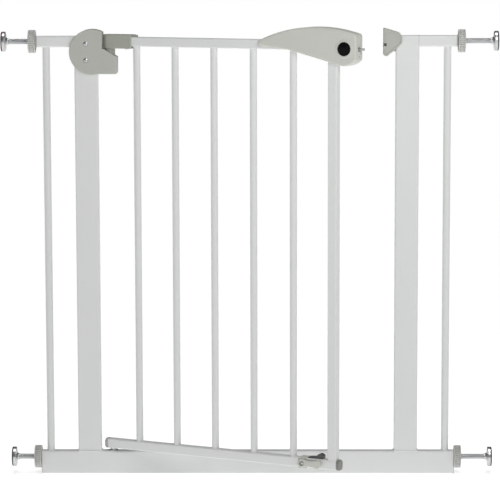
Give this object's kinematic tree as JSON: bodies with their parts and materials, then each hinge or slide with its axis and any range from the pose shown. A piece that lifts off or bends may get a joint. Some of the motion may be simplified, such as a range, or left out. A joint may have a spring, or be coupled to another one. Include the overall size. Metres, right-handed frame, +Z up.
{
  "type": "safety baby gate",
  "caption": "White steel pressure-fit safety gate: U-frame with screw spindles and pads, hinged barred door, latch handle with button, and swing stop.",
  "frame": {"origin": "middle of the bottom rail's underside, on the floor", "axes": "+X to the right along the gate, +Y away from the side the door opens to, +Z up"},
  "size_m": [0.848, 0.2293, 0.781],
  "materials": {
    "white_paint": "satin powder coat",
    "hinge_plastic": "matt warm grey",
    "arm_plastic": "matt darker warm grey",
    "handle_plastic": "matt light warm grey",
    "grey_plastic": "matt grey",
    "wheel_plastic": "matt light grey",
    "dark_plastic": "matt dark grey",
    "button_black": "gloss black",
    "zinc_steel": "bright zinc plate",
    "pad_rubber": "matt dark grey rubber"
  },
  "bodies": {
    "frame": {"frame_bottom_rail": "white_paint", "left_post": "white_paint", "right_post": "white_paint", "left_top_rail": "white_paint", "right_top_rail": "white_paint", "left_side_tube": "white_paint", "right_side_tube": "white_paint", "plug_top_left": "grey_plastic", "plug_bottom_left": "grey_plastic", "plug_top_right": "grey_plastic", "plug_bottom_right": "grey_plastic", "hinge_housing_front": "hinge_plastic", "hinge_housing_rear": "hinge_plastic", "hinge_housing_screws": "zinc_steel", "upper_hinge_pin": "zinc_steel", "lower_hinge_bush": "grey_plastic", "catch": "hinge_plastic", "catch_screws": "zinc_steel"},
    "door": {"hinge_arm": "arm_plastic", "hinge_arm_screw": "zinc_steel", "door_top_rail": "white_paint", "door_bottom_rail": "white_paint", "door_bar_1": "white_paint", "door_bar_2": "white_paint", "door_bar_3": "white_paint", "door_bar_4": "white_paint", "door_bar_5": "white_paint", "door_end_post": "white_paint", "door_cap_left": "grey_plastic", "door_cap_right": "dark_plastic", "lower_hinge_pin": "zinc_steel", "handle_front": "handle_plastic", "handle_rear": "handle_plastic", "handle_screws": "zinc_steel", "latch_spring": "zinc_steel", "stop_clip": "dark_plastic", "stop_screw": "zinc_steel"},
    "wheel_top_left": {"wheel_top_left": "wheel_plastic"},
    "spindle_top_left": {"spindle_top_left": "zinc_steel", "pad_top_left": "pad_rubber"},
    "wheel_bottom_left": {"wheel_bottom_left": "wheel_plastic"},
    "spindle_bottom_left": {"spindle_bottom_left": "zinc_steel", "pad_bottom_left": "pad_rubber"},
    "wheel_top_right": {"wheel_top_right": "wheel_plastic"},
    "spindle_top_right": {"spindle_top_right": "zinc_steel", "pad_top_right": "pad_rubber"},
    "wheel_bottom_right": {"wheel_bottom_right": "wheel_plastic"},
    "spindle_bottom_right": {"spindle_bottom_right": "zinc_steel", "pad_bottom_right": "pad_rubber"},
    "tongue": {"latch_tongue": "zinc_steel"},
    "button": {"latch_button": "button_black"},
    "stop": {"stop_lever": "handle_plastic"}
  },
  "joints": [
    {"name": "door_swing", "type": "hinge", "parent": "frame", "child": "door", "pos_m": [-0.2335, 0, 0], "axis": [0, 0, -1], "range_deg": [-25, 65]},
    {"name": "turn_wheel_top_left", "type": "hinge", "parent": "frame", "child": "wheel_top_left", "pos_m": [-0.3665, 0, 0.7505], "axis": [-1, 0, 0], "range_deg": [-5282, 3842]},
    {"name": "spindle_travel_top_left", "type": "slide", "parent": "frame", "child": "spindle_top_left", "axis": [-1, 0, 0], "range_m": [-0.016, 0.022]},
    {"name": "turn_wheel_bottom_left", "type": "hinge", "parent": "frame", "child": "wheel_bottom_left", "pos_m": [-0.3645, 0, 0.029], "axis": [-1, 0, 0], "range_deg": [-6962, 2162]},
    {"name": "spindle_travel_bottom_left", "type": "slide", "parent": "frame", "child": "spindle_bottom_left", "axis": [-1, 0, 0], "range_m": [-0.009, 0.029]},
    {"name": "turn_wheel_top_right", "type": "hinge", "parent": "frame", "child": "wheel_top_right", "pos_m": [0.3665, 0, 0.7505], "axis": [-1, 0, 0], "range_deg": [-6242, 2882]},
    {"name": "spindle_travel_top_right", "type": "slide", "parent": "frame", "child": "spindle_top_right", "axis": [1, 0, 0], "range_m": [-0.026, 0.012]},
    {"name": "turn_wheel_bottom_right", "type": "hinge", "parent": "frame", "child": "wheel_bottom_right", "pos_m": [0.3645, 0, 0.029], "axis": [-1, 0, 0], "range_deg": [-5522, 3602]},
    {"name": "spindle_travel_bottom_right", "type": "slide", "parent": "frame", "child": "spindle_bottom_right", "axis": [1, 0, 0], "range_m": [-0.023, 0.015]},
    {"name": "tongue_slide", "type": "slide", "parent": "door", "child": "tongue", "axis": [0.9063, -0.4226, 0], "range_m": [-0.006, 0.004], "stiffness_N_per_m": 300, "springref_m": 0.01, "deforming": ["latch_spring"]},
    {"name": "button_press", "type": "slide", "parent": "door", "child": "button", "axis": [0.4226, 0.9063, 0], "range_m": [-0.004, 0.006]},
    {"name": "stop_turn", "type": "hinge", "parent": "door", "child": "stop", "pos_m": [0.09314, -0.16555, 0.053], "axis": [0.4226, 0.9063, 0], "range_deg": [0, 90]}
  ],
  "couplings": [
    {"joint": "turn_wheel_top_left", "follows": "spindle_travel_top_left", "rad_per_m": -4188.8},
    {"joint": "turn_wheel_bottom_left", "follows": "spindle_travel_bottom_left", "rad_per_m": -4188.8},
    {"joint": "turn_wheel_top_right", "follows": "spindle_travel_top_right", "rad_per_m": 4188.8},
    {"joint": "turn_wheel_bottom_right", "follows": "spindle_travel_bottom_right", "rad_per_m": 4188.8},
    {"joint": "button_press", "follows": "tongue_slide", "ratio": -1}
  ]
}
